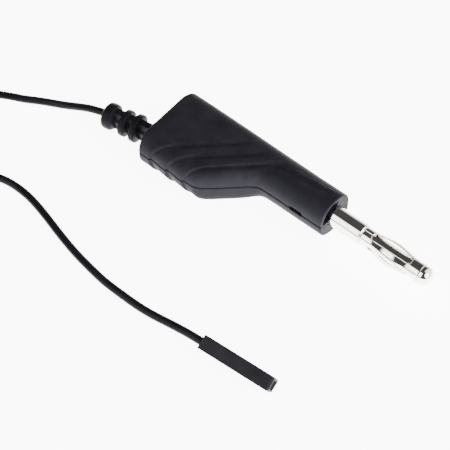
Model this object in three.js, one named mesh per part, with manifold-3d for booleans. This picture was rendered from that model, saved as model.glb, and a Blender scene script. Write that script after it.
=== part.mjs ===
// A test lead: a stackable 4 mm spring plug in a two-part moulded body, a strain relief,
// 0.5 m of thin wire, and a single-way 2.54 mm socket housing on the far end.
// Millimetres. +X runs along the plug towards its tip, +Z is up, and the lead leaves on the -Y side.
// Pieces are placed from the centre of the body's front face at table height. The whole assembly is
// moved at the end, so that the origin is the bottom centre of the plug without its lead.
import * as THREE from "three";
import { mergeVertices } from "three/addons/utils/BufferGeometryUtils.js";
import Module from "manifold-3d";

const wasm = await Module();
wasm.setup();

// ---- driving dimensions ----
const AXIS_Z = 4.0; // height of the plug's axis, and of the seam between the two shells
const BODY_R = 4.0; // round front of the body
const REAR_X = -37.1; // rear face of the body
const SEAM_GAP = 0.1; // between the two shells
const WALL_Y = -12.3; // straight outer wall of the cable branch
const WALL_REAR_X = -35.5;
const WALL_FRONT_X = -22.4;
const BRANCH_END_X = -14.5; // where the slanted wall runs into the round body
const EDGE_ROUND = 2.2; // rounding of the branch's long edges
const GROOVE_ANGLE = THREE.MathUtils.degToRad(46); // of the grip grooves, from +X
const GROOVE_ENDS = [[-22.0, 0.3], [-17.9, 0.1], [-13.6, 0.2]]; // inner ends, beside the barrel
const GROOVE_R = 3.0;
const GROOVE_DEPTH = 0.45;

const SOCKET_OUTER_R = 2.6; // sleeve that takes the next plug
const SOCKET_BORE_R = 2.02;
const SOCKET_REAR_X = -36.7;
const SOCKET_FRONT_X = -13.0;
const BORE_END_X = -16.0;
const SPIGOT_R = 1.48; // rear of the pin, pressed into the sleeve
const SPIGOT_HOLE_R = 1.5;
const PIN_R = 1.95;
const FLANGE_R = 2.85; // ring of the pin that the shells hold
const FLANGE_X = [-6.0, -5.0];
const NECK_R = 1.1; // pin inside the spring leaves
const SEAT_R = 1.5; // pin under the cage's collars
const SHOULDER_X = 6.75; // front of the plain shank
const HEAD_REAR_X = 19.45;
const HEAD_R = 1.75;
const TIP_X = 21.4;

const TAG_X = [-22.4, -21.2]; // solder tag round the sleeve
const TAG_R = 3.05;

const CAGE_WALL = 0.2;
const COLLAR_R = 1.78; // outer radius of the cage's collars
const REAR_COLLAR_X = [6.85, 8.6];
const FRONT_COLLAR_X = [17.1, 19.3];
const LEAF_X = [8.7, 17.0];
const LEAF_PEAK_X = 13.0;
const LEAF_PEAK_R = 2.32;
const LEAF_HALF_ANGLE = THREE.MathUtils.degToRad(19);
const LEAF_FIRST_ANGLE = THREE.MathUtils.degToRad(54.2); // from +Y towards +Z
const LEAF_COUNT = 4;

const BOOT_ANGLE = THREE.MathUtils.degToRad(190.3); // direction in which the lead leaves
const BOOT_START = new THREE.Vector3(-36.4, -7.39, AXIS_Z); // where it leaves the body
const BOOT_LENGTH = 10.45;
const BOOT_R = 2.4;
const BOOT_CORE_R = 1.25;
const BOOT_BORE_R = 0.85;
const BOOT_RINGS = [[2.95, 4.2], [5.35, 6.6], [8.15, BOOT_LENGTH]];
const BOOT_WEB_WIDTH = 1.3;
const BOOT_NECK_R = 1.9;
const BOOT_FLANGE_R = 2.7;
const BOOT_FLANGE = [-2.4, -1.2];

const WIRE_D = 1.5;
const WIRE_R = WIRE_D / 2;
const STRAND_R = 0.1;
const STRAND_COUNT = 7;
const COIL_CENTRE = new THREE.Vector2(-70.9, -30.6);
const COIL_INNER_R = 6.35;
const COIL_OUTER_R = 11.15;
const COIL_BOTTOM_Z = 0.3;
const COIL_TOP_Z = 4.9;
const TIE_WIDTH = 2.4;
const TIE_THICK = 0.25;
const TIE_GAP = 0.04; // under and over the coil
const TIE_REACH = (COIL_OUTER_R - COIL_INNER_R) / 2 + 0.2; // from the turns' middle to its inside

const HOUSING_LENGTH = 14.0; // one-way housing of the 2.54 mm system
const HOUSING_SIDE = 2.54;
const HOUSING_REAR = new THREE.Vector3(-0.04, -34.29, 1.74);
const HOUSING_ANGLE = THREE.MathUtils.degToRad(4.6);
const HOUSING_ROLL = THREE.MathUtils.degToRad(30);
const CAVITY_SIDE = 1.8;
const MOUTH_SIDE = 1.0;
const CONTACT_SIDE = 1.5;
const TOUCH_GAP = 0.3; // between the lead's pieces where they meet

const ROUND = 32; // segments round the larger turned pieces
const SMALL_ROUND = 20;

// ---- materials ----
const material = (color, roughness, metalness) =>
  new THREE.MeshStandardMaterial({ color, roughness, metalness });
const SHELL_PLASTIC = material(0x1b1b1e, 0.5, 0);
const BOOT_PLASTIC = material(0x161618, 0.55, 0);
const WIRE_PLASTIC = material(0x101012, 0.3, 0);
const HOUSING_PLASTIC = material(0x18181b, 0.45, 0);
const NICKEL = material(0xd8d6d2, 0.12, 1);
const BRASS = material(0xc9a65a, 0.3, 1);
const COPPER = material(0xb8683c, 0.35, 1);
const TIE_WIRE = material(0x1a1a1c, 0.5, 0);

// ---- solids ----

// A geometry as a solid that can be cut and joined.
function solid(geometry) {
  const bare = geometry.index ? geometry.toNonIndexed() : geometry.clone();
  bare.deleteAttribute("normal");
  bare.deleteAttribute("uv");
  const merged = mergeVertices(bare, 1e-4);
  return new wasm.Manifold(
    new wasm.Mesh({
      numProp: 3,
      vertProperties: new Float32Array(merged.attributes.position.array),
      triVerts: new Uint32Array(merged.index.array),
    }),
  );
}

function geometryOf(body) {
  const mesh = body.getMesh();
  const geometry = new THREE.BufferGeometry();
  geometry.setAttribute("position", new THREE.BufferAttribute(mesh.vertProperties, 3));
  geometry.setIndex(new THREE.BufferAttribute(mesh.triVerts, 1));
  geometry.computeVertexNormals();
  return geometry;
}

const joined = (first, ...rest) => rest.reduce((whole, next) => whole.add(next), first);
const cutBy = (first, ...cutters) => cutters.reduce((whole, next) => whole.subtract(next), first);

function named(name, geometry, finish) {
  const mesh = new THREE.Mesh(geometry, finish);
  mesh.name = name;
  return mesh;
}

// A shape turned about the X axis, from [x, radius] pairs that run forwards along its outside.
function turned(outline, segments = ROUND) {
  const points = outline.map(([x, radius]) => new THREE.Vector2(radius, x));
  return new THREE.LatheGeometry(points, segments).rotateZ(-Math.PI / 2);
}

// A solid of revolution whose outline starts and ends on the X axis.
function spindle(outline, segments = ROUND) {
  const ends = [[outline[0][0], 0], ...outline, [outline.at(-1)[0], 0]];
  return turned(ends, segments);
}

// A ring or sleeve between two radii.
function sleeve([rear, front], inner, outer, segments = ROUND) {
  const outline = [[rear, inner], [rear, outer], [front, outer], [front, inner], [rear, inner]];
  return turned(outline, segments);
}

// A box from its two corners.
function block([x0, x1], [y0, y1], [z0, z1]) {
  return new THREE.BoxGeometry(x1 - x0, y1 - y0, z1 - z0)
    .translate((x0 + x1) / 2, (y0 + y1) / 2, (z0 + z1) / 2);
}

// A straight round bar along X.
function bar([x0, x1], radius, segments = SMALL_ROUND) {
  return spindle([[x0, radius], [x1, radius]], segments);
}

const onAxis = (geometry) => geometry.translate(0, 0, AXIS_Z);

// Turns a geometry made along +X into the strain relief's direction.
function alongBoot(geometry) {
  return geometry.rotateZ(BOOT_ANGLE).translate(BOOT_START.x, BOOT_START.y, BOOT_START.z);
}

function extruded(points, height, bevel = 0) {
  const shape = new THREE.Shape(points.map(([x, y]) => new THREE.Vector2(x, y)));
  return new THREE.ExtrudeGeometry(shape, {
    depth: height - 2 * bevel,
    bevelEnabled: bevel > 0,
    bevelSize: bevel,
    bevelThickness: bevel,
    bevelOffset: -bevel,
    bevelSegments: 5,
  }).translate(0, 0, bevel);
}

// ---- plug body ----

const BRANCH_INNER_Y = 2.7; // the branch's form ends inside the round barrel
const BRANCH_OUTLINE = [
  [REAR_X + 0.5, BRANCH_INNER_Y],
  [REAR_X + 0.5, -6.0],
  [WALL_REAR_X, WALL_Y],
  [WALL_FRONT_X, WALL_Y],
  [BRANCH_END_X, -BODY_R],
  [BRANCH_END_X + BODY_R + BRANCH_INNER_Y, BRANCH_INNER_Y],
];

// The body's outer form: a round barrel with the flat cable branch beside it.
function bodyForm() {
  const barrel = solid(onAxis(spindle([
    [REAR_X, BODY_R - 0.6],
    [REAR_X + 0.6, BODY_R],
    [-0.3, BODY_R],
    [0, BODY_R - 0.3],
  ])));
  return barrel.add(solid(extruded(BRANCH_OUTLINE, 2 * AXIS_Z, EDGE_ROUND)));
}

// Scooped grip grooves across the top and the bottom of the branch.
function gripGrooves() {
  const reach = 20;
  return GROOVE_ENDS.flatMap(([x, y]) => [-1, 1].map((side) => {
    const height = AXIS_Z + side * (AXIS_Z + GROOVE_R - GROOVE_DEPTH);
    return solid(bar([-reach, 0], GROOVE_R, ROUND).rotateZ(GROOVE_ANGLE).translate(x, y, height));
  }));
}

// Everything that the two shells leave free inside.
function bodyHollow() {
  const bore = solid(onAxis(spindle([
    [REAR_X - 1, 2.2],
    [SOCKET_REAR_X - 0.1, 2.2],
    [SOCKET_REAR_X - 0.1, SOCKET_OUTER_R + 0.05],
    [TAG_X[0] - 0.6, SOCKET_OUTER_R + 0.05],
    [TAG_X[0] - 0.6, TAG_R + 0.1],
    [TAG_X[1] + 0.6, TAG_R + 0.1],
    [TAG_X[1] + 0.6, SOCKET_OUTER_R + 0.05],
    [-11.9, SOCKET_OUTER_R + 0.05],
    [-11.9, PIN_R + 0.05],
    [FLANGE_X[0] - 0.1, PIN_R + 0.05],
    [FLANGE_X[0] - 0.1, FLANGE_R + 0.1],
    [FLANGE_X[1] + 0.1, FLANGE_R + 0.1],
    [FLANGE_X[1] + 0.1, PIN_R + 0.05],
    [1, PIN_R + 0.05],
  ])));
  const neck = solid(alongBoot(bar([-3, 3], BOOT_NECK_R + 0.05)));
  const flange = solid(alongBoot(bar([BOOT_FLANGE[0] - 0.1, BOOT_FLANGE[1] + 0.1], BOOT_FLANGE_R + 0.1)));
  const wireRoom = solid(block([-34.5, TAG_X[1] + 0.3], [-9.0, -2.7], [AXIS_Z - 1.3, AXIS_Z + 1.3]));
  return joined(bore, neck, flange, wireRoom);
}

const PEGS = [[-31.0, -10.8], [-22.6, -10.4]];

function pegs(radius, height) {
  return PEGS.map(([x, y]) => {
    const peg = new THREE.CylinderGeometry(radius, radius, height, SMALL_ROUND).rotateX(Math.PI / 2);
    return solid(peg.translate(x, y, AXIS_Z - SEAM_GAP + height / 2 - 0.2));
  });
}

function shells() {
  const outer = cutBy(bodyForm(), ...gripGrooves(), bodyHollow());
  const wide = [REAR_X - 5, 5];
  const above = solid(block(wide, [-20, 10], [AXIS_Z + SEAM_GAP / 2, 20]));
  const below = solid(block(wide, [-20, 10], [-10, AXIS_Z - SEAM_GAP / 2]));
  const frontRecess = solid(onAxis(sleeve([-0.5, 1], 1, 3.3)))
    .intersect(solid(block([-1, 2], [-5, 2.6], [AXIS_Z, 10])));
  const upper = cutBy(outer.intersect(above), ...pegs(0.75, 1.8), frontRecess);
  const lower = joined(outer.intersect(below), ...pegs(0.65, 1.6));
  return [
    named("upper_shell", geometryOf(upper), SHELL_PLASTIC),
    named("lower_shell", geometryOf(lower), SHELL_PLASTIC),
  ];
}

// ---- contact ----

function stackSocket() {
  const outline = [
    [SOCKET_REAR_X, SOCKET_BORE_R + 0.25],
    [SOCKET_REAR_X, SOCKET_OUTER_R],
    [SOCKET_FRONT_X, SOCKET_OUTER_R],
    [SOCKET_FRONT_X, SPIGOT_HOLE_R],
    [BORE_END_X, SPIGOT_HOLE_R],
    [BORE_END_X, SOCKET_BORE_R],
    [SOCKET_REAR_X + 0.25, SOCKET_BORE_R],
    [SOCKET_REAR_X, SOCKET_BORE_R + 0.25],
  ];
  return named("stack_socket", onAxis(turned(outline)), BRASS);
}

// The turned pin: spigot, shoulder, shank, the seats and neck inside the cage, and the round head.
function plugPin() {
  const dome = [0, 15, 30, 45, 60, 75].map((degrees) => {
    const angle = THREE.MathUtils.degToRad(degrees);
    const start = HEAD_REAR_X + 0.35;
    return [start + (TIP_X - start) * Math.sin(angle), HEAD_R * Math.cos(angle)];
  });
  const outline = [
    [BORE_END_X + 0.1, SPIGOT_R],
    [SOCKET_FRONT_X + 0.02, SPIGOT_R],
    [SOCKET_FRONT_X + 0.02, SOCKET_OUTER_R],
    [-12.0, SOCKET_OUTER_R],
    [-12.0, PIN_R],
    [FLANGE_X[0], PIN_R],
    [FLANGE_X[0], FLANGE_R],
    [FLANGE_X[1], FLANGE_R],
    [FLANGE_X[1], PIN_R],
    [SHOULDER_X - 0.3, PIN_R],
    [SHOULDER_X, PIN_R - 0.2],
    [SHOULDER_X, SEAT_R],
    [REAR_COLLAR_X[1], SEAT_R],
    [REAR_COLLAR_X[1] + 0.3, NECK_R],
    [FRONT_COLLAR_X[0] - 0.3, NECK_R],
    [FRONT_COLLAR_X[0], SEAT_R],
    [HEAD_REAR_X, SEAT_R],
    [HEAD_REAR_X, HEAD_R],
    ...dome,
    [TIP_X, 0.2],
  ];
  return named("plug_pin", onAxis(spindle(outline)), NICKEL);
}

function cageCollars() {
  const inner = COLLAR_R - CAGE_WALL;
  return [
    named("cage_rear_collar", onAxis(sleeve(REAR_COLLAR_X, inner, COLLAR_R)), NICKEL),
    named("cage_front_collar", onAxis(sleeve(FRONT_COLLAR_X, inner, COLLAR_R)), NICKEL),
  ];
}

// Outer radius of the spring cage along its leaves.
function leafRadius(x) {
  const end = x < LEAF_PEAK_X ? LEAF_X[0] : LEAF_X[1];
  const along = Math.abs((x - end) / (LEAF_PEAK_X - end));
  return COLLAR_R + (LEAF_PEAK_R - COLLAR_R) * Math.sin((along * Math.PI) / 2) ** 1.5;
}

// One bowed spring leaf, cut out of the whole bowed sleeve by a wedge.
function cageLeaf(index) {
  const steps = 12;
  const along = Array.from({ length: steps + 1 }, (_, i) => LEAF_X[0] + ((LEAF_X[1] - LEAF_X[0]) * i) / steps);
  const outside = along.map((x) => [x, leafRadius(x)]);
  const inside = along.map((x) => [x, leafRadius(x) - CAGE_WALL]).reverse();
  const bowed = solid(turned([...outside, ...inside, outside[0]], 72));
  const reach = 4;
  const side = reach * Math.tan(LEAF_HALF_ANGLE);
  const wedge = extruded([[0, 0], [reach, -side], [reach, side]], 30).rotateY(Math.PI / 2);
  const turn = LEAF_FIRST_ANGLE + (index * 2 * Math.PI) / LEAF_COUNT;
  wedge.rotateX(turn + Math.PI / 2);
  const leaf = bowed.intersect(solid(wedge));
  return named(`cage_leaf_${index + 1}`, onAxis(geometryOf(leaf)), NICKEL);
}

// The ring and barrel that carry the wire's end on the sleeve.
function solderTag() {
  const ring = solid(onAxis(sleeve(TAG_X, SOCKET_OUTER_R + 0.03, TAG_R)));
  const arm = solid(block(TAG_X, [-6.6, -2.8], [AXIS_Z - 0.6, AXIS_Z + 0.6]));
  const bore = solid(block([TAG_X[0] - 1, TAG_X[1] + 1], [-6.1, -5.1], [AXIS_Z - 0.42, AXIS_Z + 0.42]));
  return named("solder_tag", geometryOf(ring.add(arm).subtract(bore)), BRASS);
}

// ---- strain relief and the wire inside the body ----

function strainRelief() {
  const core = bar([BOOT_FLANGE[0], BOOT_LENGTH - 0.2], BOOT_CORE_R);
  const neck = bar([BOOT_FLANGE[0], 1.2], BOOT_NECK_R);
  const flange = bar(BOOT_FLANGE, BOOT_FLANGE_R);
  const rings = BOOT_RINGS.map((ends) => bar(ends, BOOT_R, ROUND));
  const half = BOOT_WEB_WIDTH / 2;
  const web = block([0.6, BOOT_LENGTH - 0.4], [-half, half], [-BOOT_R + 0.25, BOOT_R - 0.25]);
  const bore = bar([BOOT_FLANGE[0] - 1, BOOT_LENGTH + 1], BOOT_BORE_R);
  const whole = joined(...[core, neck, flange, ...rings, web].map(solid));
  return named("strain_relief", alongBoot(geometryOf(whole.subtract(solid(bore)))), BOOT_PLASTIC);
}

// A round tube along a list of points.
function tube(points, radius, steps, sides = 8) {
  const path = new THREE.CatmullRomCurve3(points.map((p) => new THREE.Vector3(...p)), false, "centripetal");
  const section = new THREE.Shape();
  section.absarc(0, 0, radius, 0, 2 * Math.PI);
  return new THREE.ExtrudeGeometry(section, {
    steps,
    curveSegments: sides,
    bevelEnabled: false,
    extrudePath: path,
  });
}

const TAIL_END = [-25.2, -5.6, AXIS_Z];
const STRAND_END_X = -21.0;

// The insulated wire inside the strain relief and the body, up to where it is stripped.
function wireTail() {
  const at = (along) => [
    BOOT_START.x + along * Math.cos(BOOT_ANGLE),
    BOOT_START.y + along * Math.sin(BOOT_ANGLE),
    AXIS_Z,
  ];
  const points = [at(BOOT_LENGTH - 0.4), at(6), at(2), at(-3), [-30.0, -6.1, AXIS_Z], [-27.5, -5.65, AXIS_Z], TAIL_END];
  return named("wire_tail", tube(points, WIRE_R, 14), WIRE_PLASTIC);
}

// Seven bare strands, one in the middle and six round it, from the wire's end into the tag.
function conductorStrands() {
  return Array.from({ length: STRAND_COUNT }, (_, i) => {
    const angle = (i * Math.PI) / 3;
    const off = i === 0 ? 0 : 2 * STRAND_R + 0.04;
    const strand = bar([TAIL_END[0] + 0.1, STRAND_END_X], STRAND_R, 8);
    strand.translate(0, TAIL_END[1] + off * Math.cos(angle), AXIS_Z + off * Math.sin(angle));
    return named(`conductor_strand_${i + 1}`, strand, COPPER);
  });
}

// ---- the lead ----

const NEAR_ROUTE = [
  [-46.98, -9.31, 4.0],
  [-48.6, -9.6, 3.85],
  [-50.3, -9.95, 3.2],
  [-52.2, -10.3, 2.2],
  [-54.2, -10.75, 1.3],
  [-56.4, -11.45, 0.85],
  [-59.1, -12.55, 0.8],
  [-61.2, -13.65, 0.8],
  [-63.2, -14.9, 0.8],
  [-65.3, -15.95, 0.8],
  [-67.4, -17.1, 0.8],
  [-70.2, -18.2, 0.8],
  [-72.9, -18.7, 0.85],
];
const FAR_ROUTE = [
  [-63.0, -40.0, 0.85],
  [-60.4, -37.6, 0.8],
  [-57.6, -35.0, 0.8],
  [-54.9, -32.75, 0.8],
  [-52.3, -31.4, 0.8],
  [-50.0, -30.9, 0.8],
  [-47.6, -30.8, 0.8],
  [-44.9, -31.0, 0.8],
  [-41.7, -31.6, 0.8],
  [-38.3, -32.45, 0.8],
  [-34.9, -33.35, 0.8],
  [-30.1, -34.45, 0.8],
  [-25.7, -35.15, 0.8],
  [-21.7, -35.6, 0.8],
  [-18.1, -35.65, 0.8],
  [-14.6, -35.6, 0.8],
  [-11.7, -35.4, 0.82],
  [-9.2, -35.1, 0.95],
  [-6.2, -34.75, 1.25],
  [-3.1, -34.5, 1.6],
  [-0.35, -34.31, 1.74],
];

function leadCoil() {
  const outline = [
    [COIL_BOTTOM_Z, COIL_INNER_R],
    [COIL_BOTTOM_Z, COIL_OUTER_R],
    [COIL_TOP_Z, COIL_OUTER_R],
    [COIL_TOP_Z, COIL_INNER_R],
    [COIL_BOTTOM_Z, COIL_INNER_R],
  ];
  const points = outline.map(([z, radius]) => new THREE.Vector2(radius, z));
  const ring = new THREE.LatheGeometry(points, ROUND).rotateX(Math.PI / 2);
  return named("lead_coil", ring.translate(COIL_CENTRE.x, COIL_CENTRE.y, 0), WIRE_PLASTIC);
}

// A flat tie closed round one side of the coil.
function coilTie() {
  const middle = COIL_CENTRE.x - (COIL_OUTER_R + COIL_INNER_R) / 2;
  const loop = (beside, above, half) => solid(block(
    [middle - TIE_REACH - beside, middle + TIE_REACH + beside],
    [COIL_CENTRE.y - half, COIL_CENTRE.y + half],
    [COIL_BOTTOM_Z - above, COIL_TOP_Z + above],
  ));
  const inside = loop(0, TIE_GAP, TIE_WIDTH);
  const outside = loop(TIE_THICK, TIE_GAP + TIE_THICK, TIE_WIDTH / 2);
  return named("coil_tie", geometryOf(outside.subtract(inside)), TIE_WIRE);
}

// ---- socket end, made along +X from the housing's rear ----

function socketHousing() {
  const half = HOUSING_SIDE / 2;
  const room = CAVITY_SIDE / 2;
  const mouth = MOUTH_SIDE / 2;
  const lip = 1.0;
  const body = solid(block([0, HOUSING_LENGTH], [-half, half], [-half, half]));
  const cavity = solid(block([-1, HOUSING_LENGTH - lip], [-room, room], [-room, room]));
  const hole = solid(block([0, HOUSING_LENGTH + 1], [-mouth, mouth], [-mouth, mouth]));
  const funnel = new THREE.CylinderGeometry(0.95 * Math.SQRT2, mouth * Math.SQRT2, 0.6, 4)
    .rotateY(Math.PI / 4).rotateZ(-Math.PI / 2).translate(HOUSING_LENGTH - 0.3 + 0.01, 0, 0);
  return named("socket_housing", geometryOf(cutBy(body, cavity, hole, solid(funnel))), HOUSING_PLASTIC);
}

// The folded box contact with its floor strip and wire barrel.
function crimpContact() {
  const half = CONTACT_SIDE / 2;
  const wall = 0.22;
  const box = solid(block([6.6, 12.9], [-half, half], [-half, half]));
  const room = solid(block([6, 14], [-half + wall, half - wall], [-half + wall, half - wall]));
  const strip = solid(block([4.6, 6.8], [-0.45, 0.45], [-half, -half + wall]));
  const barrel = solid(sleeve([2.6, 4.8], 0.42, 0.68, SMALL_ROUND));
  const foot = solid(block([2.6, 4.8], [-0.3, 0.3], [-half, -0.55]));
  return named("crimp_contact", geometryOf(joined(box.subtract(room), strip, barrel, foot)), BRASS);
}

function socketConductor() {
  return named("socket_conductor", bar([TOUCH_GAP, 4.6], 0.3, 12), COPPER);
}

function farEnd() {
  const end = new THREE.Group();
  end.position.copy(HOUSING_REAR);
  end.rotation.set(HOUSING_ROLL, 0, HOUSING_ANGLE, "ZYX");
  end.add(socketHousing(), crimpContact(), socketConductor());
  return end;
}

// ---- assembly ----

const plug = new THREE.Group();
plug.add(...shells(), stackSocket(), plugPin(), ...cageCollars(), solderTag());
for (let i = 0; i < LEAF_COUNT; i++) plug.add(cageLeaf(i));
plug.add(strainRelief(), wireTail(), ...conductorStrands());

const lead = new THREE.Group();
lead.add(named("lead_wire_near", tube(NEAR_ROUTE, WIRE_R, 14), WIRE_PLASTIC));
lead.add(leadCoil(), coilTie());
lead.add(named("lead_wire_far", tube(FAR_ROUTE, WIRE_R, 36), WIRE_PLASTIC));
lead.add(farEnd());

const plugBox = new THREE.Box3().setFromObject(plug, true);
const centre = plugBox.getCenter(new THREE.Vector3());
const group = new THREE.Group();
group.add(plug, lead);
group.position.set(-centre.x, -centre.y, -plugBox.min.z);

export default group;
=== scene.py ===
"""The looks of a test lead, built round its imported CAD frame.

A stackable 4 mm spring plug in a two-part moulded body, a ribbed strain relief, 0.5 m of thin wire,
and a single-way socket housing. Sizes are in millimetres, in the plug's own frame: x is 0 at the
body's front face and grows towards the tip, y is 0 on the plug's axis, and z is 0 on the table.
"""

import math

import bmesh
import bpy
import numpy as np
from mathutils import Matrix, Vector


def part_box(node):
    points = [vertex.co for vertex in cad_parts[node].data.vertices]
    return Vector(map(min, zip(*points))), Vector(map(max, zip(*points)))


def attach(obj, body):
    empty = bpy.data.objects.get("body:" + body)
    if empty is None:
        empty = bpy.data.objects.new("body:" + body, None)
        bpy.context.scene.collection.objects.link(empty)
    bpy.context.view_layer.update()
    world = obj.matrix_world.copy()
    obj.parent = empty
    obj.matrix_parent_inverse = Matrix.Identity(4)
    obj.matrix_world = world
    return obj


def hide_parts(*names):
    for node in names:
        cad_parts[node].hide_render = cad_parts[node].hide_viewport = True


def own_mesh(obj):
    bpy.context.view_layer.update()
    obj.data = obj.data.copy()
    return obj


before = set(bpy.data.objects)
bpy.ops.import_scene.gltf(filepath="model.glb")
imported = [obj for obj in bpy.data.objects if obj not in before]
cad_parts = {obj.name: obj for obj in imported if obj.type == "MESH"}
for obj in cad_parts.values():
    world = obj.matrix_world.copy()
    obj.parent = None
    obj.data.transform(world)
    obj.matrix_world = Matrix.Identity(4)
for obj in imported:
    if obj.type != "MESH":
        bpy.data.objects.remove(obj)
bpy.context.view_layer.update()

MM = 0.001
AXIS_Z = 4.0
TIP_X = 21.4

pin_low, pin_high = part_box("plug_pin")
ORIGIN = Vector((
    pin_high.x - TIP_X * MM,
    (pin_low.y + pin_high.y) / 2,
    (pin_low.z + pin_high.z) / 2 - AXIS_Z * MM,
))


def in_frame(point):
    """A point in the plug's millimetres as a point in the row frame, in metres."""
    return Vector(point) * MM + ORIGIN


# ---- camera ----

CAMERA_AZIMUTH = math.radians(41.7)
CAMERA_ELEVATION = math.radians(51)
CAMERA_DISTANCE = 306
CAMERA_TARGET = (-15.04, -11.98, 0)
CAMERA_LENS = 138
SENSOR_WIDTH = 36


def make_camera():
    data = bpy.data.cameras.new("camera")
    data.lens = CAMERA_LENS
    data.sensor_width = SENSOR_WIDTH
    data.clip_start = 0.01
    camera = bpy.data.objects.new("camera", data)
    bpy.context.scene.collection.objects.link(camera)
    level = math.cos(CAMERA_ELEVATION)
    back = Vector((
        math.sin(CAMERA_AZIMUTH) * level,
        -math.cos(CAMERA_AZIMUTH) * level,
        math.sin(CAMERA_ELEVATION),
    ))
    camera.location = in_frame(CAMERA_TARGET) + back * CAMERA_DISTANCE * MM
    camera.rotation_euler = (math.pi / 2 - CAMERA_ELEVATION, 0, CAMERA_AZIMUTH)
    bpy.context.scene.camera = camera


# ---- mesh helpers ----


def smoothstep(low, high, x):
    t = np.clip((x - low) / (high - low), 0, 1)
    return t * t * (3 - 2 * t)


def soft_max(a, b, blend):
    return (a + b + np.sqrt((a - b) ** 2 + blend**2)) / 2


def soft_min(a, b, blend):
    return (a + b - np.sqrt((a - b) ** 2 + blend**2)) / 2


def piece(name, points, faces, material, sharp=32):
    """A closed mesh from points in plug millimetres, smooth apart from edges over sharp degrees."""
    mesh = bpy.data.meshes.new(name)
    mesh.from_pydata([in_frame(p) for p in points], [], faces)
    edit = bmesh.new()
    edit.from_mesh(mesh)
    bmesh.ops.recalc_face_normals(edit, faces=edit.faces)
    limit = math.radians(sharp)
    for face in edit.faces:
        face.smooth = True
    for edge in edit.edges:
        edge.smooth = len(edge.link_faces) == 2 and edge.calc_face_angle() < limit
    edit.to_mesh(mesh)
    edit.free()
    mesh.materials.append(material)
    made = bpy.data.objects.new(name, mesh)
    bpy.context.scene.collection.objects.link(made)
    return made


def ring_faces(loops, size):
    """Quads between neighbouring loops of one size, with the last loop joined to the first."""
    faces = []
    for i in range(loops):
        here, there = i * size, ((i + 1) % loops) * size
        for j in range(size):
            k = (j + 1) % size
            faces.append((here + j, here + k, there + k, there + j))
    return faces


def capped_faces(loops, size):
    """Quads between neighbouring loops of one size, with a flat face on each end."""
    faces = ring_faces(loops, size)[: (loops - 1) * size]
    last = (loops - 1) * size
    return [*faces, tuple(range(size))[::-1], tuple(range(last, last + size))]


def filleted(outline, radius, steps=4, closed=False):
    """An outline with each corner cut back by up to radius and rounded."""
    points = [np.array(p, float) for p in outline]
    count = len(points)
    rounded = []
    for i, corner in enumerate(points):
        if not closed and i in (0, count - 1):
            rounded.append(corner)
            continue
        before, after = points[i - 1] - corner, points[(i + 1) % count] - corner
        cut = min(radius, np.linalg.norm(before) * 0.45, np.linalg.norm(after) * 0.45)
        start = corner + before / np.linalg.norm(before) * cut
        end = corner + after / np.linalg.norm(after) * cut
        for t in np.linspace(0, 1, steps + 1):
            rounded.append(start * (1 - t) ** 2 + corner * 2 * t * (1 - t) + end * t**2)
    return rounded


def turned(name, outline, material, closed=False, segments=96, sharp=32):
    """A piece turned about the plug's axis from (x, radius) points. A closed outline is a ring."""
    points = []
    for x, radius in outline:
        for i in range(segments):
            angle = 2 * math.pi * i / segments
            points.append((x, radius * math.cos(angle), AXIS_Z + radius * math.sin(angle)))
    faces = (ring_faces if closed else capped_faces)(len(outline), segments)
    return piece(name, points, faces, material, sharp)


def stands_for(made, body, slot, *nodes):
    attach(made, body)
    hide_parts(*nodes)
    return made


# ---- materials ----


def surface(name, colour, roughness, metallic=0.0, specular=0.5):
    """A material, its main shader, and its node tools: colours and bumps are added to it."""
    made = bpy.data.materials.new(name)
    made.use_nodes = True
    shader = made.node_tree.nodes["Principled BSDF"]
    shader.inputs["Base Color"].default_value = (*colour, 1)
    shader.inputs["Roughness"].default_value = roughness
    shader.inputs["Metallic"].default_value = metallic
    shader.inputs["Specular IOR Level"].default_value = specular
    return made, shader


def noise(made, per_mm, detail=3, stretch=(1, 1, 1)):
    """A noise texture fixed to the piece, with so many features to the millimetre."""
    nodes, links = made.node_tree.nodes, made.node_tree.links
    where = nodes.new("ShaderNodeTexCoord")
    mapping = nodes.new("ShaderNodeMapping")
    texture = nodes.new("ShaderNodeTexNoise")
    mapping.inputs["Scale"].default_value = stretch
    texture.inputs["Scale"].default_value = per_mm / MM
    texture.inputs["Detail"].default_value = detail
    links.new(where.outputs["Object"], mapping.inputs["Vector"])
    links.new(mapping.outputs["Vector"], texture.inputs["Vector"])
    return texture.outputs["Fac"]


def vary_colour(made, shader, factor, dark, light):
    nodes, links = made.node_tree.nodes, made.node_tree.links
    ramp = nodes.new("ShaderNodeValToRGB")
    ramp.color_ramp.elements[0].position = 0.3
    ramp.color_ramp.elements[0].color = (*dark, 1)
    ramp.color_ramp.elements[1].position = 0.7
    ramp.color_ramp.elements[1].color = (*light, 1)
    links.new(factor, ramp.inputs["Fac"])
    links.new(ramp.outputs["Color"], shader.inputs["Base Color"])


def vary_roughness(made, shader, factor, low, high):
    nodes, links = made.node_tree.nodes, made.node_tree.links
    span = nodes.new("ShaderNodeMapRange")
    span.inputs["From Min"].default_value = 0.3
    span.inputs["From Max"].default_value = 0.7
    span.inputs["To Min"].default_value = low
    span.inputs["To Max"].default_value = high
    links.new(factor, span.inputs["Value"])
    links.new(span.outputs["Result"], shader.inputs["Roughness"])


def bump(made, shader, factor, depth_mm, strength=1.0):
    nodes, links = made.node_tree.nodes, made.node_tree.links
    node = nodes.new("ShaderNodeBump")
    node.inputs["Distance"].default_value = depth_mm * MM
    node.inputs["Strength"].default_value = strength
    links.new(factor, node.inputs["Height"])
    links.new(node.outputs["Normal"], shader.inputs["Normal"])


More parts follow.
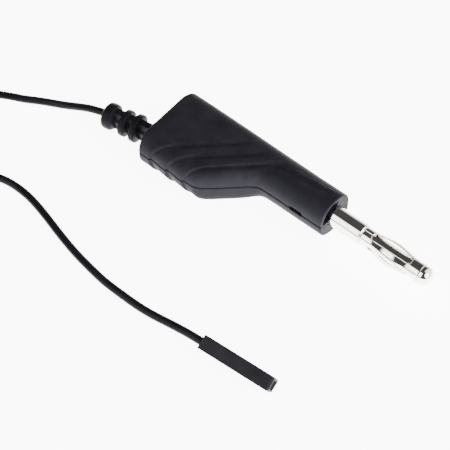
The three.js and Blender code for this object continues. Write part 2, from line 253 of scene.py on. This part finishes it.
def moulded_plastic(name, dark, light, roughness, specular, grain_mm):
    """Dark plastic with the fine grain of a spark-eroded mould and faint cloudy wear."""
    made, shader = surface(name, dark, roughness, specular=specular)
    cloud = noise(made, 0.35, detail=5)
    vary_colour(made, shader, cloud, dark, light)
    vary_roughness(made, shader, cloud, roughness - 0.06, roughness + 0.07)
    bump(made, shader, noise(made, 6, detail=4), grain_mm)
    return made


def plated_metal(name, dark, light, roughness, line_mm):
    """Metal with fine marks that run round the turned piece."""
    made, shader = surface(name, light, roughness, metallic=1.0)
    vary_colour(made, shader, noise(made, 0.5), dark, light)
    vary_roughness(made, shader, noise(made, 1.2), roughness * 0.7, roughness * 1.4)
    bump(made, shader, noise(made, 9, stretch=(1, 0.05, 0.05)), line_mm)
    return made


def wire_sheath(name):
    """Glossy flexible insulation, a little uneven along its length."""
    made, shader = surface(name, (0.006, 0.0057, 0.0072), 0.14, specular=0.03)
    vary_colour(made, shader, noise(made, 0.2), (0.0048, 0.0046, 0.0058), (0.0070, 0.0067, 0.0084))
    vary_roughness(made, shader, noise(made, 1.5), 0.12, 0.2)
    bump(made, shader, noise(made, 1.1, detail=2), 0.02)
    return made


SHELL = moulded_plastic("shell", (0.0082, 0.0078, 0.0104), (0.0118, 0.0112, 0.0150), 0.46, 0.02, 0.010)
BOOT = moulded_plastic("boot", (0.0040, 0.0039, 0.0050), (0.0066, 0.0065, 0.0082), 0.34, 0.02, 0.006)
HOUSING = moulded_plastic(
    "housing", (0.0090, 0.0088, 0.0108), (0.0130, 0.0128, 0.0152), 0.36, 0.03, 0.005
)
TIE = moulded_plastic("tie", (0.0050, 0.0050, 0.0055), (0.0080, 0.0080, 0.0085), 0.5, 0.2, 0.010)
WIRE = wire_sheath("wire")
NICKEL = plated_metal("nickel", (0.64, 0.61, 0.575), (0.74, 0.715, 0.69), 0.05, 0.0006)
BRASS = plated_metal("brass", (0.62, 0.44, 0.17), (0.74, 0.55, 0.25), 0.24, 0.002)
COPPER = plated_metal("copper", (0.66, 0.29, 0.15), (0.78, 0.38, 0.21), 0.28, 0.002)


# ---- the lead ----

WIRE_D = 1.5
LEAD_LENGTH = 500
COIL_CENTRE = np.array([-70.9, -30.6])
COIL_LAYERS = (1.05, 2.55, 4.05)  # heights of the wire's middle in each layer
COIL_ENTRY = math.radians(99.5)  # where the wire joins the coil, and then changes turns
COIL_EXIT = math.radians(310)
CHANGE = math.radians(62)  # the angle over which the wire moves over to its next place
LEAVING = 1.6  # the angle, in radians, over which the wire leaves the coil
AT_EXIT = 0.5  # the last part of that angle, where it keeps the exit's radius
COIL_STEPS = 72

BOOT_ANGLE = math.radians(190.3)
BOOT_START = (-36.4, -7.39, AXIS_Z)
BOOT_LENGTH = 10.45

HOUSING_LENGTH = 14.4
HOUSING_REAR = (0.0, -34.27, 1.80)
HOUSING_ANGLE = math.radians(4.6)
HOUSING_ROLL = math.radians(30)

LEAD_EXIT = (-46.4, -9.21, 4.0)
NEAR_ROUTE = [
    LEAD_EXIT,
    (-46.98, -9.31, 4.0),
    (-48.6, -9.6, 3.75),
    (-50.3, -9.95, 3.38),
    (-52.2, -10.3, 2.68),
    (-54.2, -10.75, 1.9),
    (-56.4, -11.45, 1.28),
    (-59.1, -12.55, 0.92),
    (-61.2, -13.65, 0.8),
    (-63.2, -14.9, 0.8),
    (-65.3, -15.95, 0.8),
    (-67.4, -17.1, 0.8),
    (-70.2, -18.2, 0.8),
    (-72.9, -18.7, 0.85),
]
FAR_ROUTE = [
    (-63.0, -40.0, 0.85),
    (-60.4, -37.6, 0.8),
    (-57.6, -35.0, 0.8),
    (-54.9, -32.75, 0.8),
    (-52.3, -31.4, 0.8),
    (-50.0, -30.9, 0.8),
    (-47.6, -30.8, 0.8),
    (-44.9, -31.0, 0.8),
    (-41.7, -31.6, 0.8),
    (-38.3, -32.45, 0.8),
    (-34.9, -33.35, 0.8),
    (-30.1, -34.45, 0.8),
    (-25.7, -35.15, 0.8),
    (-21.7, -35.6, 0.8),
    (-18.1, -35.65, 0.8),
    (-14.6, -35.6, 0.8),
    (-11.7, -35.4, 0.82),
    (-9.2, -35.1, 0.95),
    (-6.2, -34.75, 1.25),
    (-3.1, -34.5, 1.6),
    (-0.35, -34.31, 1.74),
    (1.85, -34.14, 1.74),
]


def coil_route(middle):
    """The coil's turns round a middle radius, one wire apart: in, out, and over the top."""
    inner, outer = middle - WIRE_D, middle + WIRE_D
    low, mid, top = COIL_LAYERS
    places = [
        (outer, low), (middle, low), (inner, low),
        (inner, mid), (middle, mid), (outer, mid),
        (middle, top), (outer, top),
    ]
    start = np.array(NEAR_ROUTE[-1])
    came_from = (np.linalg.norm(start[:2] - COIL_CENTRE), start[2])
    sweep = (len(places) - 1) * 2 * math.pi + COIL_EXIT - COIL_ENTRY
    end = np.array(FAR_ROUTE[0])
    goes_to = (np.linalg.norm(end[:2] - COIL_CENTRE), end[2])
    route = []
    for turned_by in np.linspace(0, sweep, int(COIL_STEPS * sweep / (2 * math.pi)))[1:-1]:
        turn = int(turned_by / (2 * math.pi))
        before = places[turn - 1] if turn else came_from
        share = smoothstep(0, CHANGE, turned_by - turn * 2 * math.pi)
        radius = before[0] + (places[turn][0] - before[0]) * share
        height = before[1] + (places[turn][1] - before[1]) * share
        leaving = smoothstep(sweep - LEAVING, sweep, turned_by)
        outwards = smoothstep(sweep - LEAVING, sweep - AT_EXIT, turned_by)
        radius += (goes_to[0] - radius) * outwards
        height += (goes_to[1] - height) * leaving
        angle = COIL_ENTRY + turned_by
        spot = COIL_CENTRE + radius * np.array([math.cos(angle), math.sin(angle)])
        route.append((spot[0], spot[1], height))
    return route


def through(points, steps):
    """A smooth line through points: a centripetal Catmull-Rom curve."""
    points = np.array(points, float)
    first = 2 * points[0] - points[1]
    last = 2 * points[-1] - points[-2]
    ends = np.vstack([first, points, last])
    line = []
    for a, b, c, d in zip(ends, ends[1:], ends[2:], ends[3:]):
        k1 = np.linalg.norm(b - a) ** 0.5
        k2 = k1 + np.linalg.norm(c - b) ** 0.5
        k3 = k2 + np.linalg.norm(d - c) ** 0.5
        for t in np.linspace(k1, k2, steps, endpoint=False):
            ab = a + (b - a) * t / k1
            bc = b + (c - b) * (t - k1) / (k2 - k1)
            cd = c + (d - c) * (t - k2) / (k3 - k2)
            abc = ab + (bc - ab) * t / k2
            bcd = bc + (cd - bc) * (t - k1) / (k3 - k1)
            line.append(abc + (bcd - abc) * (t - k1) / (k2 - k1))
    return np.array([*line, points[-1]])


def lead_line():
    """The whole lead's line, with the coil's radius chosen for its real length."""
    small, large = 7.0, 10.0
    for _ in range(18):
        middle = (small + large) / 2
        line = through([*NEAR_ROUTE, *coil_route(middle), *FAR_ROUTE], steps=3)
        length = np.linalg.norm(np.diff(line, axis=0), axis=1).sum()
        if length > LEAD_LENGTH:
            large = middle
        else:
            small = middle
    return line, middle


def make_lead(line):
    data = bpy.data.curves.new("lead", "CURVE")
    data.dimensions = "3D"
    data.bevel_depth = WIRE_D / 2 * MM
    data.bevel_resolution = 5
    data.use_fill_caps = True
    spline = data.splines.new("POLY")
    spline.points.add(len(line) - 1)
    for point, spot in zip(spline.points, line):
        point.co = (*in_frame(spot), 1)
    spline.use_smooth = True
    data.materials.append(WIRE)
    made = bpy.data.objects.new("lead", data)
    bpy.context.scene.collection.objects.link(made)
    return stands_for(made, "plug", "wire_insulation", "lead_wire_near", "lead_coil", "lead_wire_far")


TIE_WIDTH = 2.4
TIE_THICK = 0.25


def make_tie(middle):
    """A flat band round one side of the coil, with rounded edges."""
    bottom, top = COIL_LAYERS[0] - WIRE_D / 2, COIL_LAYERS[-1] + WIRE_D / 2
    reach = 1.5 * WIRE_D
    across = COIL_CENTRE[0] - middle
    inside = filleted([
        (across - reach, bottom - 0.02), (across + reach, bottom - 0.02),
        (across + reach, top + 0.02), (across - reach, top + 0.02),
    ], 0.7, steps=6, closed=True)
    centre = np.mean(inside, axis=0)
    edge = filleted([(0, -1), (1, -1), (1, 1), (0, 1)], 0.35, steps=3, closed=True)
    points = []
    for spot in inside:
        out = (spot - centre) / np.linalg.norm(spot - centre)
        for depth, side in edge:
            x, z = spot + out * depth * TIE_THICK
            points.append((x, COIL_CENTRE[1] + side * TIE_WIDTH / 2, z))
    made = piece("tie", points, ring_faces(len(inside), len(edge)), TIE)
    return stands_for(made, "plug", "tie", "coil_tie")


HOUSING_SIDE = 2.62
HOUSING_ROUND = 0.12
MOUTH_HALF = 0.56
FUNNEL_HALF = 0.88
CAVITY_HALF = 0.9
LIP = 1.0


def rounded_square(half, radius, steps=4):
    corners = [(half, half), (-half, half), (-half, -half), (half, -half)]
    return filleted(corners, radius, steps, closed=True)


def make_housing():
    """The single-way housing: rounded square loops from its rear, over its mouth, and back inside."""
    half = HOUSING_SIDE / 2
    front = HOUSING_LENGTH
    loops = [
        (0, CAVITY_HALF), (0, half - 0.10), (0.03, half - 0.04), (0.1, half),
        (front - 0.42, half), (front - 0.38, half - 0.01), (front - 0.05, half - 0.22),
        (front, half - 0.26), (front, FUNNEL_HALF), (front - 0.04, FUNNEL_HALF - 0.05),
        (front - 0.55, MOUTH_HALF + 0.02), (front - 0.6, MOUTH_HALF), (front - LIP, MOUTH_HALF),
        (front - LIP, CAVITY_HALF),
    ]
    turn = Matrix.Rotation(HOUSING_ANGLE, 3, "Z") @ Matrix.Rotation(HOUSING_ROLL, 3, "X")
    points = []
    for x, reach in loops:
        for y, z in rounded_square(reach, HOUSING_ROUND):
            points.append(turn @ Vector((x, y, z)) + Vector(HOUSING_REAR))
    size = len(rounded_square(half, HOUSING_ROUND))
    made = piece("socket_shell", points, ring_faces(len(loops), size), HOUSING, sharp=28)
    return stands_for(made, "plug", "housing_plastic", "socket_housing")


# ---- plug body ----

BODY_R = 4.0
REAR_X = -36.7
# The rear face leans, and its far corner is rounded, as (y, x).
REAR_FACE = [(-12.3, -35.85), (-10.6, -36.15), (-7.3, -36.2), (0.9, REAR_X), (2.6, -36.5), (4.0, -35.9)]
WALL_Y = 12.25
SLANT_X = -14.3  # where the slanted wall would meet the barrel's side
GROOVE_ANGLE = math.radians(46)
GROOVE_PITCH = 3.9
FIRST_GROOVE_X = -33.2
GROOVE_COUNT = 3
GROOVE_DEPTH = 0.66
GROOVE_LIP = 0.08
STATION_STEP = 0.2
REAR_EDGE = 0.45
FRONT_EDGE = 0.22
ARC_POINTS = 110
SEAM_HALF = 0.06
SEAM_BEVEL = 0.16
SHELL_WALL = 1.3
SLEEVE_HOLE_R = 2.68
PIN_HOLE_R = 2.05
FLANGE_HOLE_R = 2.95
FRONT_RECESS_R = 3.3
LATCH_X = (-6.9, -4.3)
LATCH_HIGH = 0.5
LATCH_LOW = 0.25
LATCH_DEPTH = 0.8

# The run of the rounding on the near side, and how square it is: rear, slanted wall, front.
UPPER_RUN = (4.7, 3.3, BODY_R)
UPPER_POWER = (2.25, 2.9, 2.6)
LOWER_RUN = (4.2, 2.4, BODY_R)
LOWER_POWER = (2.7, 4.2, 2.5)

FINE_GAP = 0.8  # a fine line follows each grip step at its outer end
FINE_DEPTH = 0.10
FINE_LIP = 0.03
CREASE_SLOPE = 0.11
CREASE_DEPTH = 0.38
CREASE_LIP = 0.06
CREASE_RUN = 2.4

SLEEVE_HOLE_END = -35.6
CAVITY_END = -12.1
FLANGE_SLOT = (-6.1, -4.9)
EDGE_STATIONS = 6
FACE_BACK_X = -0.6
RECESS_OPENS = (math.radians(74), math.radians(82))
RECESS_DEPTH = 0.55


def branch_reach(x):
    """How far the body reaches from the axis on the lead's side."""
    slant = BODY_R + (SLANT_X - x) * math.tan(GROOVE_ANGLE)
    return soft_min(soft_max(slant, BODY_R, 0.7), WALL_Y, 1.4)


def section(x, side, inset=0.0):
    """Points over one half of the body at x, from the far seam to the near one, as (y, height)."""
    reach = branch_reach(x)
    rear = 1 - smoothstep(-25.0, -21.0, x)
    front = smoothstep(-17.0, -12.5, x)
    slant = 1 - rear - front
    shares = (rear, slant, front)
    run = sum(a * b for a, b in zip(UPPER_RUN if side > 0 else LOWER_RUN, shares))
    power = sum(a * b for a, b in zip(UPPER_POWER if side > 0 else LOWER_POWER, shares))
    # The far side is squarer towards the rear.
    far_power = 2.4 + 0.65 * (1 - smoothstep(-33.0, -4.0, x))
    # The steps' lips stand on top of this height.
    height = BODY_R - GROOVE_LIP - inset
    run = min(run, reach) - inset
    flat = reach - inset - run
    far = np.linspace(0, math.pi / 2, 40)
    near = np.linspace(math.pi / 2, 0, 60)
    far_y = (BODY_R - inset) * np.cos(far) ** (2 / far_power)
    far_h = height * np.sin(far) ** (2 / far_power)
    y = np.concatenate([far_y, -flat - run * np.cos(near) ** (2 / power)])
    h = np.concatenate([far_h, height * np.sin(near) ** (2 / power)])
    return np.stack([y, h], axis=1)


def half_circle(radius):
    angle = np.linspace(0, math.pi, 60)
    return np.stack([radius * np.cos(angle), radius * np.sin(angle)], axis=1)


def evenly(line, count):
    along = np.concatenate([[0], np.cumsum(np.linalg.norm(np.diff(line, axis=0), axis=1))])
    at = np.linspace(0, along[-1], count)
    return np.stack([np.interp(at, along, line[:, k]) for k in range(line.shape[1])], axis=1)


def lean(x, y):
    """How far the leaning rear face shifts a point at x, fading out along the body."""
    ys, xs = zip(*REAR_FACE)
    return (np.interp(y, ys, xs) - REAR_X) * (1 - smoothstep(REAR_X, -31.0, x))


def step_profile(s, depth, lip, run):
    """A lip, a sharp step down at s = 0, and a slow rise back over run."""
    down = smoothstep(-0.05, 0.22, s) * np.clip(1 - s / run, 0, 1) ** 1.6
    return lip * np.exp(-(((s + 0.22) / 0.2) ** 2)) - depth * down


def relief(x, y):
    """The grip steps across the branch and the crease along the barrel, as height over the form."""
    total = np.zeros_like(x)
    pitch = GROOVE_PITCH * math.sin(GROOVE_ANGLE)
    # The steps are shallower at the seam, and end at the barrel.
    fade = (0.6 + 0.4 * smoothstep(-11.5, -7.5, y)) * (1 - smoothstep(-0.3, 1.0, y))
    for i in range(GROOVE_COUNT):
        start = FIRST_GROOVE_X + i * GROOVE_PITCH
        s = (x - start) * math.sin(GROOVE_ANGLE) - (y + WALL_Y) * math.cos(GROOVE_ANGLE)
        total += step_profile(s, GROOVE_DEPTH, GROOVE_LIP, pitch) * fade
        outer = 1 - smoothstep(-9.5, -7.0, y)
        total += step_profile(s - FINE_GAP, FINE_DEPTH, FINE_LIP, FINE_GAP) * fade * outer
    # The crease: from the last step's inner end to the front, leaning to the far side.
    bend = FIRST_GROOVE_X + (GROOVE_COUNT - 1) * GROOVE_PITCH + WALL_Y / math.tan(GROOVE_ANGLE)
    s = -(y - (x - bend) * CREASE_SLOPE)
    along = smoothstep(bend - 0.6, bend + 0.8, x) * (1 - smoothstep(-3.0, -0.4, x))
    return total + step_profile(s, CREASE_DEPTH, CREASE_LIP, CREASE_RUN) * along


def outer_rows(side):
    """Rows of points over the body's outside, from the rear face's edge to the front face's."""
    turn = np.linspace(0, math.pi / 2, EDGE_STATIONS)
    stations = [(REAR_X + REAR_EDGE * (1 - math.cos(a)), REAR_EDGE * (1 - math.sin(a))) for a in turn]
    between = np.arange(REAR_X + REAR_EDGE + STATION_STEP, -FRONT_EDGE, STATION_STEP)
    stations += [(x, 0.0) for x in between]
    stations += [(FRONT_EDGE * (math.sin(a) - 1), FRONT_EDGE * (1 - math.cos(a))) for a in turn]
    rows = []
    for x, inset in stations:
        line = evenly(section(x, side, inset), ARC_POINTS)
        along = np.full(ARC_POINTS, x)
        rows.append(np.stack([along + lean(x, line[:, 0]), line[:, 0], line[:, 1]], axis=1))
    grid = np.array(rows)
    normal = np.cross(np.gradient(grid, axis=0), np.gradient(grid, axis=1))
    normal /= np.linalg.norm(normal, axis=2, keepdims=True) + 1e-12
    outward = np.sign((normal * grid).sum(axis=2)[len(rows) // 2, ARC_POINTS // 2])
    height = relief(grid[:, :, 0], grid[:, :, 1])
    fade = smoothstep(REAR_X + 0.1, REAR_X + 1.2, grid[:, :, 0])
    grid += normal * outward * (height * fade)[:, :, None]
    return grid, [x for x, _ in stations]


def inner_row(x, side):
    """Points over the inside of a shell at x."""
    if x < SLEEVE_HOLE_END:
        line = half_circle(SLEEVE_HOLE_R)
    elif x < CAVITY_END:
        line = section(x, side, SHELL_WALL)
    elif FLANGE_SLOT[0] < x < FLANGE_SLOT[1]:
        line = half_circle(FLANGE_HOLE_R)
    else:
        line = half_circle(PIN_HOLE_R)
    line = evenly(line, ARC_POINTS + 2)
    return np.stack([x + lean(x, line[:, 0]), line[:, 0], line[:, 1]], axis=1)


def with_lips(rows, side):
    """Adds the small bevels that make the seam, and the latch's notch on the near side."""
    done = []
    for row in rows:
        row = row.copy()
        row[:, 2] = np.maximum(row[:, 2], SEAM_HALF + SEAM_BEVEL)
        first, last = row[0].copy(), row[-1].copy()
        first[1] -= SEAM_BEVEL
        last[1] += SEAM_BEVEL
        first[2] = last[2] = SEAM_HALF
        done.append(np.vstack([first, row, last]))
    for row in done:
        if LATCH_X[0] < row[-1][0] < LATCH_X[1]:
            cut = (row[:, 1] < 0) & (row[:, 2] < (LATCH_HIGH if side > 0 else LATCH_LOW))
            row[cut, 1] += LATCH_DEPTH
    return done


def front_rings(side):
    """Rings over the front face: its flat rim, and a recess round the pin in the upper shell."""
    psi = np.linspace(0, math.pi, ARC_POINTS + 2)
    open_part = smoothstep(*RECESS_OPENS, psi) if side > 0 else psi * 0
    sink = RECESS_DEPTH * open_part
    rings = []
    for radius, depth in ((FRONT_RECESS_R, 0), (FRONT_RECESS_R - 0.06, 1), (PIN_HOLE_R, 1)):
        height = np.maximum(radius * np.sin(psi), SEAM_HALF)
        rings.append(np.stack([-sink * depth, radius * np.cos(psi), height], axis=1))
    return rings


def shell(name, side, node):
    """One half of the body: outside, front rings, inside, and the flat faces of the seam."""
    grid, stations = outer_rows(side)
    outside = with_lips(grid, side)
    inside = [inner_row(x, side) for x in stations]
    # The inside stops short of the front face.
    for row in inside[-EDGE_STATIONS:]:
        row[:, 0] = np.minimum(row[:, 0], FACE_BACK_X)
    rings = front_rings(side)
    loops = [*outside, *rings, *inside[::-1]]
    width = ARC_POINTS + 2
    points = np.vstack(loops)
    points[:, 2] = AXIS_Z + side * points[:, 2]
    count, total = len(outside), len(loops)
    faces = []
    for i in range(total):
        here, there = i * width, ((i + 1) % total) * width
        faces += [(here + j, here + j + 1, there + j + 1, there + j) for j in range(width - 1)]
    for column in (0, width - 1):
        for i in range(count - 1):
            opposite = total - 1 - i
            corners = (i, i + 1, opposite - 1, opposite)
            faces.append(tuple(c * width + column for c in corners))
        cap = range(count - 1, count + len(rings) + 1)
        faces.append(tuple(c * width + column for c in cap))
    made = piece(name, points, faces, SHELL, sharp=38)
    return stands_for(made, "plug", "shell_plastic", node)


# ---- strain relief ----

BOOT_CORE_R = 1.05
BOOT_NECK_R = 2.45
BOOT_BORE_R = 0.83
BOOT_END_R = 1.95
# Each ring's start, end, radius, and how square it is.
BOOT_RINGS = ((2.95, 4.2, 2.72, 6), (5.35, 6.6, 2.58, 6), (8.15, BOOT_LENGTH, 2.55, 3.5))
BOOT_WEB_HALF = 0.72
BOOT_WEB_REACH = 2.15
BOOT_REAR = -1.0
BOOT_STEPS = 150
BOOT_SIDES = 144


def boot_radius(along, angle):
    """The strain relief's radius: a core with a flange, rings round it, and webs above and below."""
    up = np.abs(np.sin(angle))
    beside = np.abs(np.cos(angle)) + 1e-9
    radius = np.full_like(angle, BOOT_CORE_R)
    neck = 1 - smoothstep(0.55, 0.85, along)
    radius = np.maximum(radius, BOOT_CORE_R + (BOOT_NECK_R - BOOT_CORE_R) * neck)
    web = np.minimum(BOOT_WEB_REACH / (up + 1e-9), BOOT_WEB_HALF / beside)
    if along < BOOT_LENGTH - 0.5:
        radius = soft_max(radius, web, 0.12)
    for start, end, reach, power in BOOT_RINGS:
        off = abs(along - (start + end) / 2) / ((end - start) / 2)
        if off < 1:
            ring = BOOT_CORE_R + (reach - BOOT_CORE_R) * (1 - off**power) ** (1 / power)
            radius = np.maximum(radius, ring)
    return radius


def make_boot():
    angle = np.linspace(0, 2 * math.pi, BOOT_SIDES, endpoint=False)
    steps = np.linspace(BOOT_REAR, BOOT_LENGTH, BOOT_STEPS)
    rows = [(along, boot_radius(along, angle)) for along in steps]
    rows[-1] = (BOOT_LENGTH, np.full_like(angle, BOOT_END_R))
    bore = np.full_like(angle, BOOT_BORE_R)
    rows += [(BOOT_LENGTH, bore), (BOOT_REAR, bore)]
    turn = Matrix.Rotation(BOOT_ANGLE, 3, "Z")
    points = []
    for along, radius in rows:
        for a, r in zip(angle, radius):
            spot = Vector((along, r * math.cos(a), r * math.sin(a)))
            points.append(turn @ spot + Vector(BOOT_START))
    made = piece("boot", points, ring_faces(len(rows), BOOT_SIDES), BOOT, sharp=40)
    return stands_for(made, "plug", "boot_plastic", "strain_relief")


# ---- pin, sleeve and spring cage ----

PIN_R = 1.95
SEAT_R = 1.5
NECK_R = 1.46
SHOULDER_X = 6.75
HEAD_X = 19.45
HEAD_R = 1.75
COLLAR_R = 1.78
SHEET = 0.2
REAR_COLLAR = (6.85, 8.6)
FRONT_COLLAR = (17.1, 19.3)
LEAF_PEAK_X = 13.0
LEAF_PEAK_R = 2.32
LEAF_HALF = math.radians(19)
LEAF_FIRST = math.radians(54.2)
LEAF_COUNT = 4
SLIT_ANGLE = LEAF_FIRST + math.radians(45)
SLIT_HALF = math.radians(5)


def make_pin():
    body = filleted([
        (-15.9, 1.2), (-15.9, 1.48), (-12.98, 1.48), (-12.98, 2.6), (-12.0, 2.6), (-12.0, PIN_R),
        (-6.0, PIN_R), (-6.0, 2.85), (-5.0, 2.85), (-5.0, PIN_R), (SHOULDER_X - 0.22, PIN_R),
        (SHOULDER_X, PIN_R - 0.16), (SHOULDER_X, SEAT_R), (REAR_COLLAR[1], SEAT_R),
        (REAR_COLLAR[1] + 0.3, NECK_R), (FRONT_COLLAR[0] - 0.3, NECK_R),
        (FRONT_COLLAR[0], SEAT_R), (HEAD_X, SEAT_R), (HEAD_X, HEAD_R),
    ], 0.06, steps=3)
    start = HEAD_X + 0.35
    turn = np.linspace(0, math.radians(86), 22)
    dome = [(start + (TIP_X - start) * math.sin(a), HEAD_R * math.cos(a)) for a in turn]
    made = turned("pin", [*body, *dome], NICKEL, sharp=30)
    return stands_for(made, "plug", "nickel", "plug_pin")


def make_sleeve():
    outline = filleted([
        (-36.2, 2.25), (-36.2, 2.6), (-13.0, 2.6), (-13.0, 1.5), (-16.0, 1.5),
        (-16.0, 2.02), (-35.9, 2.02),
    ], 0.08, steps=3, closed=True)
    made = turned("stacking_sleeve", outline, BRASS, closed=True)
    return stands_for(made, "plug", "brass", "stack_socket")


def sheet_arc(name, stations):
    """A curved strip of sheet from (x, outer radius, middle angle, half angle) stations."""
    steps = 28
    points = []
    for x, radius, middle, half in stations:
        angles = middle + half * np.linspace(-1, 1, steps)
        edge = np.full(steps, radius)
        edge[[0, -1]] -= 0.05
        outline = [*zip(angles, edge), *zip(angles[::-1], np.full(steps, radius - SHEET))]
        for angle, r in outline:
            points.append((x, r * math.cos(angle), AXIS_Z + r * math.sin(angle)))
    return piece(name, points, capped_faces(len(stations), 2 * steps), NICKEL, sharp=40)


def make_collar(name, ends, node, slit):
    """A collar of the cage. The rear one is open where the sheet's edges meet."""
    rear, front = ends
    middle = SLIT_ANGLE + math.pi
    half = math.pi - (SLIT_HALF if slit else math.radians(1.0))
    places = [(rear, -0.05), (rear + 0.06, 0), (rear + 0.12, 0)]
    places += [(front - 0.12, 0), (front - 0.06, 0), (front, -0.02)]
    made = sheet_arc(name, [(x, COLLAR_R + drop, middle, half) for x, drop in places])
    return stands_for(made, "spring_cage", "nickel", node)


def leaf_radius(x):
    end = REAR_COLLAR[1] if x < LEAF_PEAK_X else FRONT_COLLAR[0]
    along = abs((x - end) / (LEAF_PEAK_X - end))
    return COLLAR_R + (LEAF_PEAK_R - COLLAR_R) * math.sin(along * math.pi / 2) ** 1.5


def make_leaf(index):
    """A bowed leaf that widens into the collars."""
    middle = LEAF_FIRST + index * 2 * math.pi / LEAF_COUNT
    stations = []
    for x in np.linspace(REAR_COLLAR[1], FRONT_COLLAR[0], 61):
        to_end = min(x - REAR_COLLAR[1], FRONT_COLLAR[0] - x)
        flare = math.radians(20) * (1 - min(to_end / 0.7, 1)) ** 2
        stations.append((x, leaf_radius(x), middle, LEAF_HALF + flare))
    made = sheet_arc(f"spring_leaf_{index + 1}", stations)
    stands_for(made, "spring_cage", "nickel", f"cage_leaf_{index + 1}")
    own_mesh(made)


# ---- floor and light ----

FLOOR_SIZE = 6.0
FLOOR_LIGHT = 8.5


def make_floor():
    mesh = bpy.data.meshes.new("floor")
    size = FLOOR_SIZE
    corners = [(-size, -size, 0), (size, -size, 0), (size, size, 0), (-size, size, 0)]
    mesh.from_pydata(corners, [], [(0, 1, 2, 3)])
    floor = bpy.data.objects.new("floor", mesh)
    made, shader = surface("floor", (0.9, 0.9, 0.9), 0.3, specular=0.5)
    shader.inputs["Emission Color"].default_value = (1, 1, 1, 1)
    shader.inputs["Emission Strength"].default_value = FLOOR_LIGHT
    mesh.materials.append(made)
    bpy.context.scene.collection.objects.link(floor)


SHEET_LIGHT = 7.0
GLOW_LIGHT = 3.0
ABOVE_LIGHT = 3.8
SIDE_LIGHT = 9.0
SIDE_DIRECTION = (0.80, -0.16, 0.58)
DARK_LIGHT = 0.10


def make_world():
    """Lights: a near sheet, a glow on the far side, a round one in front, and a soft one from above."""
    world = bpy.data.worlds.new("studio")
    bpy.context.scene.world = world
    world.use_nodes = True
    nodes, links = world.node_tree.nodes, world.node_tree.links
    where = nodes.new("ShaderNodeTexCoord").outputs["Generated"]
    split = nodes.new("ShaderNodeSeparateXYZ")
    links.new(where, split.inputs["Vector"])
    aim = nodes.new("ShaderNodeVectorMath")
    aim.operation = "DOT_PRODUCT"
    aim.inputs[1].default_value = SIDE_DIRECTION
    links.new(where, aim.inputs[0])

    def fades(source, dark_at, light_at, light=1.0):
        span = nodes.new("ShaderNodeMapRange")
        span.interpolation_type = "SMOOTHSTEP"
        span.inputs["From Min"].default_value = dark_at
        span.inputs["From Max"].default_value = light_at
        span.inputs["To Max"].default_value = light
        links.new(source, span.inputs["Value"])
        return span.outputs["Result"]

    def joined(operation, first, *others):
        for other in others:
            node = nodes.new("ShaderNodeMath")
            node.operation = operation
            links.new(first, node.inputs[0])
            links.new(other, node.inputs[1])
            first = node.outputs["Value"]
        return first

    x, y, z = (split.outputs[axis] for axis in "XYZ")
    sheet = joined(
        "MULTIPLY",
        fades(y, -0.44, -0.56, SHEET_LIGHT),
        fades(z, 0.15, 0.18),
        fades(x, -0.60, -0.48),
        fades(x, -0.04, -0.18),
    )
    glow = joined("MULTIPLY", fades(z, 0.58, 0.10, GLOW_LIGHT), fades(y, -0.2, 0.2))
    side = fades(aim.outputs["Value"], 0.88, 0.93, SIDE_LIGHT)
    above = joined("MULTIPLY", fades(x, -0.15, 0.2, ABOVE_LIGHT), fades(z, 0.2, 0.5), fades(y, -0.1, 0.2))
    dark = fades(z, -3.0, -2.0, DARK_LIGHT)
    nodes["Background"].inputs["Color"].default_value = (1, 1, 1, 1)
    links.new(joined("ADD", sheet, glow, side, above, dark), nodes["Background"].inputs["Strength"])


# ---- assembly ----

make_camera()
line, coil_middle = lead_line()
lead = make_lead(line)
tie = make_tie(coil_middle)
housing = make_housing()

shell("upper_half", 1, "upper_shell")
shell("lower_half", -1, "lower_shell")
make_boot()
make_pin()
make_sleeve()
make_collar("rear_collar", REAR_COLLAR, "cage_rear_collar", slit=True)
make_collar("front_collar", FRONT_COLLAR, "cage_front_collar", slit=False)
for leaf_index in range(LEAF_COUNT):
    make_leaf(leaf_index)

CARRIED = {
    "solder_tag": BRASS,
    "crimp_contact": BRASS,
    "socket_conductor": COPPER,
    "wire_tail": WIRE,
}
CARRIED.update({name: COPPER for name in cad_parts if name.startswith("conductor_strand_")})
for node_name, finish in CARRIED.items():
    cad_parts[node_name].data.materials.clear()
    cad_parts[node_name].data.materials.append(finish)

make_floor()
make_world()
